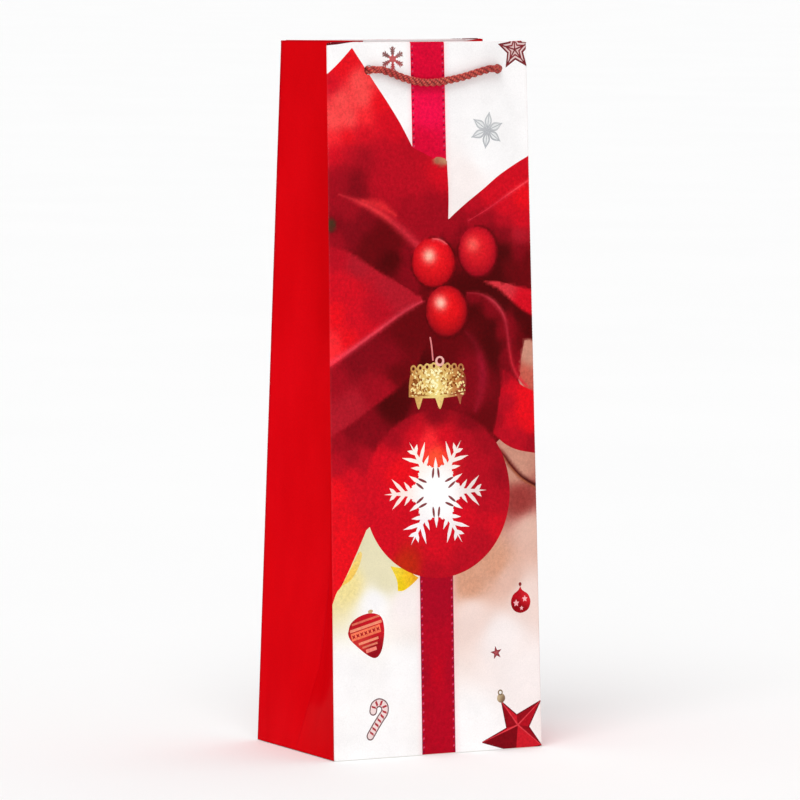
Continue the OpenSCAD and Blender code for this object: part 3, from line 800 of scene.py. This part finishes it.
tips = [(96.6, 23.6), (119.6, 22.8), (119.6, 0.8), (85, 4.2)]
star_mid = np.array([106.0, 11.6])
star_rim = [tips[0], (105.4, 16.6), tips[1], (112.4, 10.4), tips[2], (104.6, -1.6), tips[3], (99.4, 10.4)]
layer(star_rim, flat(160, 6, 20))
for i in range(8):
    a, b = np.array(star_rim[i]), np.array(star_rim[(i + 1) % 8])
    layer([star_mid, a, b], flat(*((202, 26, 40), (148, 10, 24))[i % 2]) if i not in (2,
            5) else flat(*((176, 14, 30), (124, 6, 18))[i % 2]))
for i in range(8):
    layer(stroke([star_rim[i], star_rim[(i + 1) % 8]], 0.6), flat(112, 10, 24))
for tip in tips:
    layer(stroke([star_mid, tuple(tip)], [0.8, 0.3]), flat(214, 56, 66))
layer(ellipse(96.4, 25.4, 2.4, 2.3, step=0.7), blend_of((95, 26, 196, 172, 136), (98, 24, 120, 92, 70),
        soft=1.5))
layer(ellipse(96.0, 28.2, 1.5, 1.5, step=0.6), flat(134, 112, 84))
layer(ellipse(96.0, 28.2, 0.8, 0.8, step=0.6), flat(240, 236, 232))

heart = outline([(8.4, 62), (10, 66.6), (15, 70), (22, 71.4), (27.6, 69.4), (29.4, 64), (29, 57.6),
                 (27.4, 52), (24.4, 49.2),
                 (20, 50.6), (14, 55), (9.6, 59), (8.4, 62)])
layer(heart, blend_of((12, 63, 178, 18, 32), (20, 69, 196, 18, 34), (27, 66, 206, 26, 38),
                      (24, 52, 146, 10, 24), (16, 57, 208, 54, 48)))
turn_c, turn_s = math.cos(0.24), math.sin(0.24)
for cv, half, tint in ((68.0, 0.5, (222, 110, 86)), (65.0, 0.7, (236, 140, 110)),
                       (61.8, 1.9, (240, 118, 84)), (57.8, 0.6, (236, 140, 110)),
                       (55.6, 0.5, (222, 120, 96)), (53.4, 0.9, (240, 132, 116))):
    reach = 9.6 - abs(cv - 64.5) * 0.36 if cv > 60 else 7.2 - (60 - cv) * 0.62
    middle = 19.6 + (60 - cv) * 0.34 if cv < 60 else 18.8
    layer([(middle + du * turn_c - dv * turn_s, cv + du * turn_s + dv * turn_c)
           for du, dv in ((-reach, -half), (reach, -half), (reach, half), (-reach, half))], flat(*tint))
for i in range(7):
    du = -7.2 + i * 2.4
    layer(star(18.8 + du * turn_c, 61.8 + du * turn_s, 1.4, 0.55, 4, 45 + 14), flat(170, 24, 34))
layer(ellipse(21.6, 72.2, 1.5, 0.9, 0.2, step=0.6), flat(206, 170, 120))

CANE = [(20.6, 11.2), (23.4, 15.2), (26.4, 19.2), (28.9, 22.4), (28.8, 25.6), (26, 27.2), (23.1, 25.9),
        (22.4, 23.2)]
for width, tint in ((4.4, (104, 60, 66)), (3.2, (238, 214, 212))):
    layer(stroke(CANE, width, 0.9), flat(*tint))
    for end in (CANE[0], CANE[-1]):
        layer(ellipse(*end, width / 2, step=0.7), flat(*tint))
cane_line = spline(CANE, step=0.5)
for i in range(2, len(cane_line) - 3, 5):
    a, b = cane_line[i], cane_line[i + 2]
    d = (b - a) / np.linalg.norm(b - a)
    over = np.array([-d[1], d[0]]) * 1.6
    layer([a - over, b - over * 0.6, b + over, a + over * 0.6], flat(176, 44, 56))

# ---------------------------------------------------------------- the printed sheet of each wall
EDGE_R = 0.5                                                 # outer radius of the corner creases
FOLD_R = STACK / 2                                           # outer radius of the fold at the top
FOLD_AT = BAG_H - FOLD_R
FOLD_END = FOLD_AT + math.pi * FOLD_R
SHEET_END = FOLD_END + HEM - FOLD_R
SHEET_FOOT = 0.3
HALF_FLAT = BAG_W / 2 - EDGE_R
HALF_SHEET = HALF_FLAT + EDGE_R * math.pi / 2
HEM_HALF = 57.5
# how far each top corner leans in beyond the CAD's straight wall, at x = -60 and x = 60
CURL = {1: (-5.5, 4.5), -1: (2.4, -3.2)}


def smooth(t):
    t = np.clip(t, 0, 1)
    return t * t * (3 - 2 * t)


def give(front, x, zw):
    """How far the paper stands inwards of the flat CAD wall: it bellies out and its top corners curl."""
    share = np.clip(zw / BAG_H, 0, 1)
    belly = -0.9 * np.cos(np.pi * x / BAG_W) ** 2 * np.sin(np.pi * share) ** 1.2
    ripple = 0.22 * np.sin(x / 17.0 + 0.8 * front) * np.sin(zw / 52.0 + 0.5) * np.cos(np.pi * x / BAG_W)
    ripple = ripple * np.sin(np.pi * np.clip(share * 1.08, 0, 1))
    left, right_ = CURL[front]
    return belly + ripple + share * (left * smooth((-x - 28) / 32) + right_ * smooth((x - 28) / 32))


def sheet_point(front, arc, s, depth):
    """A point of the wall's sheet: arc across it from its middle, s up it and over the top fold."""
    turn_side = np.clip((np.abs(arc) - HALF_FLAT) / EDGE_R, 0, math.pi / 2)
    x = np.sign(arc) * (np.minimum(np.abs(arc), HALF_FLAT) + (EDGE_R - depth) * np.sin(turn_side))
    rolled = EDGE_R - (EDGE_R - depth) * np.cos(turn_side)
    turn_top = np.clip((s - FOLD_AT) / FOLD_R, 0, math.pi)
    yw = np.where(s <= FOLD_AT, rolled, FOLD_R - (FOLD_R - depth) * np.cos(turn_top))
    zw = np.minimum(s, FOLD_AT) + (FOLD_R - depth) * np.sin(turn_top) - np.maximum(s - FOLD_END, 0)
    return wall_place(front, x, yw + give(front, x, zw), zw)


def inside(points, ring):
    """Which points lie inside a closed outline."""
    hit = np.zeros(len(points), bool)
    low, high = ring.min(0), ring.max(0)
    near = np.nonzero(((points >= low) & (points <= high)).all(1))[0]
    if len(near):
        x, y = points[near, 0][:, None], points[near, 1][:, None]
        x1, y1 = ring[:, 0][None], ring[:, 1][None]
        x2, y2 = np.roll(ring[:, 0], -1)[None], np.roll(ring[:, 1], -1)[None]
        cross = ((y1 > y) != (y2 > y)) & (x < (x2 - x1) * (y - y1) / np.where(y2 == y1, 1e-9, y2 - y1) + x1)
        hit[near] = cross.sum(1) % 2 == 1
    return hit


def tile(outer, holes, rings, free):
    """Triangles over the outline less its holes, with every ring's edges kept and free points inside."""
    verts, edges = [], []
    for ring in [outer, *holes, *[dense(ring, 1.25) for ring in rings]]:
        start, n = len(verts), len(ring)
        verts += [Vector(p) for p in ring]
        edges += [(start + i, start + (i + 1) % n) for i in range(n)]
    tree = KDTree(len(verts))
    for i, p in enumerate(verts):
        tree.insert((p.x, p.y, 0), i)
    tree.balance()
    verts += [Vector(p) for p in free if tree.find((p[0], p[1], 0))[2] > 0.45]
    out, _, tris, *_ = geometry.delaunay_2d_cdt(verts, edges, [], 0, 1e-5, False)
    flat_points = np.array([tuple(p) for p in out])
    tris = np.array([t for t in tris])
    centres = flat_points[tris].mean(1)
    keep = inside(centres, np.asarray(outer, float))
    for hole in holes:
        keep &= ~inside(centres, np.asarray(hole, float))
    tris = tris[keep]
    used = np.unique(tris)
    again = np.full(len(flat_points), -1)
    again[used] = np.arange(len(used))
    return flat_points[used], again[tris]


def rim_loops(tris):
    """Directed edges that only one triangle uses."""
    edges = np.concatenate([tris[:, [0, 1]], tris[:, [1, 2]], tris[:, [2, 0]]])
    seen = {(int(a), int(b)) for a, b in edges}
    return [(a, b) for a, b in seen if (b, a) not in seen]


def grid_points(us, vs):
    return np.stack(np.meshgrid(us, vs), -1).reshape(-1, 2)


def dense(ring, step=1.5):
    """The ring with points no further apart than step."""
    out = []
    for i, a in enumerate(ring):
        a, b = np.array(a, float), np.array(ring[(i + 1) % len(ring)], float)
        k = max(1, int(math.ceil(np.linalg.norm(b - a) / step)))
        out += [a + (b - a) * j / k for j in range(k)]
    return np.array(out)


def paint_corners(points, tris):
    """The colour at each triangle's corners: the paint of the top layer over the triangle's centre."""
    centres = points[tris].mean(1)
    top = np.full(len(tris), -1)
    for k, (ring, _, _) in enumerate(layers):
        top[inside(centres, ring)] = k
    colours = np.full((len(tris), 3, 3), 250.0)
    corners = points[tris].copy()
    corners[..., 1] = to_picture(corners[..., 1])
    for k in np.unique(top):
        if k >= 0:
            mine = top == k
            colours[mine] = layers[k][1](corners[mine].reshape(-1, 2)).reshape(-1, 3, 3)
    soft = np.array([flag for _, _, flag in layers] + [False])[top]
    ids = tris[soft].ravel()
    count = np.maximum(np.bincount(ids, minlength=len(points)), 1)
    mean = np.stack([np.bincount(ids, colours[soft][..., k].ravel(),
                                 len(points)) / count for k in range(3)], -1)
    colours[soft] = mean[tris[soft]]
    for beneath, line, paint in glows:
        near = (top < beneath) & ((corners.min(1) < line[:, :2].max(0) + 4) & (corners.max(1) > line[:,
                :2].min(0) - 4)).all(1)
        p = corners[near].reshape(-1, 2)
        away = ((p[:, None] - line[None, :, :2]) ** 2).sum(-1) / line[None, :, 2] ** 2
        share = np.exp(-0.8 * away.min(1))[:, None]
        colours[near] = (colours[near].reshape(-1, 3) * (1 - share) + paint(p) * share).reshape(-1, 3, 3)
    c = np.clip(colours, 0, 255) / 255
    lin = np.where(c <= 0.04045, c / 12.92, ((c + 0.055) / 1.055) ** 2.4)
    return np.concatenate([lin, np.ones((len(tris), 3, 1))], -1)


def shell(name, front, outer, holes, rings, fine, coarse, depths, material_ids, to_arc):
    """A thin closed sheet on a wall: a fine outer face, a coarse inner one and a rim between them."""
    points, tris = tile(outer, holes, rings, fine)
    rim = rim_loops(tris)
    loop_points = sorted({a for a, _ in rim})
    index = {p: i for i, p in enumerate(loop_points)}
    rim_xy = points[loop_points]
    verts2 = [Vector(p) for p in rim_xy]
    tree = KDTree(len(verts2))
    for i, p in enumerate(verts2):
        tree.insert((p.x, p.y, 0), i)
    tree.balance()
    verts2 += [Vector(p) for p in coarse if tree.find((p[0], p[1], 0))[2] > 1.0]
    out, _, back_tris, *_ = geometry.delaunay_2d_cdt(verts2, [(index[a], index[b]) for a, b in rim], [], 0,
            1e-6, False)
    back = np.array([tuple(p) for p in out])
    assert np.abs(back[:len(rim_xy)] - rim_xy).max() < 1e-4, "rim points moved"
    back_tris = np.array([t for t in back_tris])
    centres = back[back_tris].mean(1)
    keep = inside(centres, np.asarray(outer, float))
    for hole in holes:
        keep &= ~inside(centres, np.asarray(hole, float))
    back_tris = back_tris[keep]
    n = len(points)
    verts = np.concatenate([sheet_point(front, to_arc(points[:, 0]), points[:, 1], depths[0]),
                            sheet_point(front, to_arc(back[:, 0]), back[:, 1], depths[1])])
    faces = [tuple(int(i) for i in t) for t in tris]
    faces += [tuple(int(i) + n for i in t[::-1]) for t in back_tris]
    faces += [(b, a, index[a] + n, index[b] + n) for a, b in rim]
    mesh = build(name, verts, faces, 38)
    at_side = [min(abs(points[a, 0] - 60), abs(points[b, 0] - 60)) > HALF_SHEET - 0.01 for a, b in rim]
    rim_ids = np.where(at_side, material_ids[-1], material_ids[1])
    ids = np.concatenate([np.full(len(tris), material_ids[0]), np.full(len(back_tris), material_ids[1]),
                          rim_ids])
    mesh.polygons.foreach_set("material_index", ids.astype(np.int32))
    return mesh, points, tris


print_material, side_material, white_material = make_print(), make_side(), make_white()
card_material = make_board("stiffener_card", (196, 186, 168), (214, 205, 188), (150, 132, 108))
board_material = make_board("base_board_card", (188, 182, 172), (206, 200, 190), (146, 136, 120))

us = np.concatenate([[-0.27, -0.1, 0.1, 0.3], np.linspace(0.6, 119.4, 80), [119.7, 119.9, 120.1, 120.27]])
vs = np.concatenate([np.linspace(0.8, FOLD_AT - 0.5, 240), np.linspace(FOLD_AT, FOLD_END, 9),
                     np.linspace(FOLD_END + 1.2, SHEET_END - 0.8, 26)])
sheet_outline = dense([(60 - HALF_SHEET, SHEET_FOOT), (60 + HALF_SHEET, SHEET_FOOT),
                       (60 + HALF_SHEET, FOLD_AT), (60 + HEM_HALF, FOLD_AT),
                       (60 + HEM_HALF, SHEET_END), (60 - HEM_HALF, SHEET_END), (60 - HEM_HALF, FOLD_AT),
                       (60 - HALF_SHEET, FOLD_AT)])
hem_hole_v = FOLD_END + FOLD_AT - HOLE_Z
sheet_holes = [ellipse(60 + x, v, SEEN_HOLE_D / 2, step=0.6) for x in SEEN_HOLE_X for v in (HOLE_Z,
        hem_hole_v)]
back_holes = [ellipse(60 - x, v, SEEN_HOLE_D / 2, step=0.6) for x in SEEN_HOLE_X for v in (HOLE_Z,
        hem_hole_v)]
coarse_us = np.concatenate([[-0.1, 0.2], np.linspace(4, 116, 19), [119.8, 120.1]])
coarse_vs = np.concatenate([np.linspace(5, FOLD_AT - 3, 56), np.linspace(FOLD_AT, FOLD_END, 9),
                            np.linspace(FOLD_END + 5, SHEET_END - 4, 6)])
for wall, front, flip, holes in (("front", 1, 1, sheet_holes), ("back", -1, -1, back_holes)):
    def to_arc(u, flip=flip):
        return flip * (u - 60)
    mesh, points, tris = shell(f"{wall}_printed_panel", front, sheet_outline, holes,
                               [ring for ring, _, _ in layers] + guides,
                               grid_points(us, vs), grid_points(coarse_us, coarse_vs), (0.0, PAPER),
                               (0, 1, 2), to_arc)
    colour = mesh.color_attributes.new("print", "FLOAT_COLOR", "CORNER")
    painted = paint_corners(points, tris).reshape(-1, 4)
    values = np.tile(np.array(srgb(250, 248, 245)), (len(mesh.loops), 1))
    values[:len(painted)] = painted
    colour.data.foreach_set("color", values.astype(np.float32).ravel())
    # nearness to the side creases and the top fold, where the side paper on the rim paints shade and the
    # print a rubbed edge
    co = np.array([v.co for v in mesh.vertices]) / MM
    edge = np.clip(1 - np.abs(np.abs(co[:, 0]) - 60) / 0.7, 0,
                   1) + np.clip(1 - np.abs(co[:, 2] - TOP_Z) / 0.7, 0, 1)
    mesh.attributes.new("crease", "FLOAT", "POINT").data.foreach_set("value",
            np.clip(edge, 0, 1).astype(np.float32))
    panel = add(f"{wall}_printed_panel", mesh, print_material, white_material, side_material)
    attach(panel, f"{wall}_wall")
    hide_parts(f"{wall}_panel", f"{wall}_hem")
    card_outline = dense([(60 - CARD_HALF, BAG_H - PAPER - CARD_HEIGHT),
                          (60 + CARD_HALF, BAG_H - PAPER - CARD_HEIGHT),
                          (60 + CARD_HALF, FOLD_AT - 0.02), (60 - CARD_HALF, FOLD_AT - 0.02)], 3.0)
    card_grid = grid_points(np.linspace(5, 115, 40), np.linspace(326, 357, 12))
    card_holes = [h for h in holes if h[:, 1].mean() < BAG_H]
    mesh, _, _ = shell(f"{wall}_stiffener", front, card_outline, card_holes, [], card_grid, card_grid,
                       (PAPER + 0.01, PAPER + CARD - 0.01), (0, 0), to_arc)
    card = add(f"{wall}_stiffener", mesh, card_material)
    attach(card, f"{wall}_wall")
    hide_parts(f"{wall}_card")

tab_outline = dense([(1.0, 1.05), (16.0, 1.05), (16.0, BAG_H - HEM - 1), (1.0, BAG_H - HEM - 1)], 4.0)
tab_grid = grid_points(np.linspace(4, 13, 3), np.linspace(5, 315, 60))
mesh, _, _ = shell("glued_seam_tab", -1, tab_outline, [], [], tab_grid, tab_grid,
                   (PAPER + 0.01, 2 * PAPER + 0.01), (0, 0),
                   lambda u: -(u - 60))
tab = add("glued_seam_tab", mesh, white_material)
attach(tab, "back_wall")
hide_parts("seam_tab")


# ---------------------------------------------------------------- gussets
def crease_in(z):
    """How far the middle crease folds in at height z, as in the CAD."""
    half = BAG_D / 2 - z * math.tan(LEAN)
    low_half = BAG_D / 2 * (1 - math.tan(LEAN))
    deep = math.sqrt(max((BAG_D / 2) ** 2 - half ** 2, 0))
    low = math.sqrt((BAG_D / 2) ** 2 - low_half ** 2)
    return deep if z >= BAG_D / 2 else low * z / (BAG_D / 2)


SAG = {-1: 0.0, 1: 1.5}                                      # how far each gusset's middle crease has settled
G_FOLD = 0.27                                                # outer radius of a gusset's top fold
G_TURN = TOP_Z - G_FOLD
G_END = G_TURN + math.pi * G_FOLD
g_rows = ([0.3, 2, 5] + list(np.linspace(8, 42.5, 12)) + list(np.linspace(46, G_TURN - 1,
        66)) + list(np.linspace(G_TURN, G_END, 9))
          + list(np.linspace(G_END + 2, G_END + HEM, 12)))
g_shares = [0, 0.008, 0.02, 0.04, 0.06, 0.1, 0.16, 0.24, 0.32, 0.4, 0.48, 0.56, 0.64, 0.72, 0.8, 0.87,
            0.93, 0.965, 0.985, 1.0]


def gusset_point(sx, front, share, s, depth):
    """A point of one half of a side gusset: share runs from the wall's corner to the middle crease."""
    turn = min(max((s - G_TURN) / G_FOLD, 0), math.pi)
    z = min(s, G_TURN) + (G_FOLD - depth) * math.sin(turn) - max(s - G_END, 0)
    inward = depth if s <= G_TURN else G_FOLD - (G_FOLD - depth) * math.cos(turn)
    zw = z / math.cos(LEAN)
    a = wall_place(front, sx * BAG_W / 2, EDGE_R + float(give(front, np.array(sx * 60.0), np.array(zw))),
                   zw)
    a[2] = z
    b = np.array([sx * (BAG_W / 2 - crease_in(z)), 0.0, z])
    along = (b - a) / np.linalg.norm(b - a)
    normal = np.array([sx * abs(along[1]), front * abs(along[0]), 0.0])        # out of the bag
    sag = SAG[sx] * math.sin(math.pi / 2 * share) * float(smooth((z - 180) / 170))
    if s > G_TURN:                                           # the hem stops short of the wall's own hem
        share = 0.06 + 0.94 * share
    swell = 1.3 * math.sin(math.pi * share) * math.sin(math.pi * min(z / 330,
            1)) * (1 + 0.35 * math.sin(z / 41 + 2 * sx))
    soft = 0.5 * math.sin(2 * math.pi * share) * math.sin(z / 63 + front)
    place = a + (b - a) * share + normal * (swell + soft * min(z / 60, 1) * min((TOP_Z - z) / 30,
            1) - inward)
    return place - (0, 0, sag)


for side, sx in (("left", -1), ("right", 1)):
    for end, front in (("front", 1), ("rear", -1)):
        rows, cols = len(g_rows), len(g_shares)
        places = [(share, s) for s in g_rows for share in g_shares]
        verts = [gusset_point(sx, front, share, s, depth) for depth in (0.0, PAPER) for share, s in places]
        n = rows * cols
        faces = []
        for i in range(rows - 1):
            for j in range(cols - 1):
                a, b, c, d = i * cols + j, i * cols + j + 1, (i + 1) * cols + j + 1, (i + 1) * cols + j
                faces += [(a, b, c, d), (d + n, c + n, b + n, a + n)]
        ring = ([(0, j) for j in range(cols - 1)] + [(i, cols - 1) for i in range(rows - 1)]
                + [(rows - 1, j) for j in range(cols - 1, 0, -1)] + [(i, 0) for i in range(rows - 1, 0,
                        -1)])
        ids = [i * cols + j for i, j in ring]
        for k, a in enumerate(ids):
            b = ids[(k + 1) % len(ids)]
            faces.append((b, a, a + n, b + n))
        if sx * front > 0:
            faces = [f[::-1] for f in faces]
        half = f"{side}_{end}_gusset"
        mesh = build(f"{half}_sheet", verts, faces, 38)
        kinds = [0, 1] * ((rows - 1) * (cols - 1)) + ([1] * (cols - 1) + [0] * (rows - 1)) * 2
        mesh.polygons.foreach_set("material_index", kinds)
        # nearness to the wall's corner, the middle crease and the top fold, where the side paper paints shade
        # and wear
        crease = []
        for share, s in places:
            middle = math.exp(-(((1 - share) * BAG_D / 2) / 0.6) ** 2)
            middle *= 0.2 + 0.8 * float(smooth((s - 30) / 120))
            crease.append(max(math.exp(-((share * 42.5) / 0.7) ** 2), middle,
                              1 - abs(s - (G_TURN + G_END) / 2) / 1.4, 0))
        mesh.attributes.new("crease", "FLOAT", "POINT").data.foreach_set("value",
                np.array(crease * 2, np.float32))
        sheet = add(f"{half}_sheet", mesh, side_material, white_material)
        wall = "front" if front == 1 else "back"
        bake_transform(sheet)
        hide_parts(half, f"{side}_{end}_fold", f"{half}_hem")

# ---------------------------------------------------------------- CAD nodes that stay
for name, material in (("bottom_flap_front", white_material), ("bottom_flap_back", white_material),
                       ("bottom_flap_left", side_material),
                       ("bottom_flap_right", side_material), ("base_board", board_material)):
    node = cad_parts[name]
    node.data.materials.clear()
    node.data.materials.append(material)

# ---------------------------------------------------------------- studio
floor_mesh = bpy.data.meshes.new("floor")
floor_mesh.from_pydata([(-60, -60, -0.0001), (60, -60, -0.0001), (60, 60, -0.0001), (-60, 60, -0.0001)],
                       [], [(0, 1, 2, 3)])
m = Maker("floor", Specular_IOR_Level=0.05)
floor = add("floor", floor_mesh, m.finish(m.mix(m.span(m.noise(3, 2), 0.3, 0.7), grey(0.93), grey(0.94)),
                                          0.8))

world = bpy.data.worlds.new("studio")
world.use_nodes = True
world.node_tree.nodes["Background"].inputs["Color"].default_value = (1, 1, 1, 1)
sky = world.node_tree
direction = sky.nodes.new("ShaderNodeTexCoord").outputs["Generated"]
height = sky.nodes.new("ShaderNodeSeparateXYZ")
sky.links.new(direction, height.inputs["Vector"])
dimming = sky.nodes.new("ShaderNodeMapRange")
for key, number in (("From Min", 0.03), ("From Max", 0.2), ("To Min", 0.975), ("To Max", 0.58)):
    dimming.inputs[key].default_value = number
sky.links.new(height.outputs["Z"], dimming.inputs["Value"])
sky.links.new(dimming.outputs["Result"], sky.nodes["Background"].inputs["Strength"])
scene.world = world


def sun(name, turn, height, power, softness):
    """A soft parallel light from turn degrees left of the front and height degrees up."""
    data = bpy.data.lights.new(name, "SUN")
    data.energy, data.angle = power, math.radians(softness)
    made = bpy.data.objects.new(name, data)
    a, e = math.radians(turn), math.radians(height)
    towards = Vector((-math.sin(a) * math.cos(e), -math.cos(a) * math.cos(e), math.sin(e)))
    made.rotation_mode = "QUATERNION"
    made.rotation_quaternion = towards.to_track_quat("Z", "Y")
    scene.collection.objects.link(made)


sun("key", 40, 52, 1.45, 40)
sun("fill", -120, 60, 0.4, 60)
scene.view_settings.view_transform = "Standard"
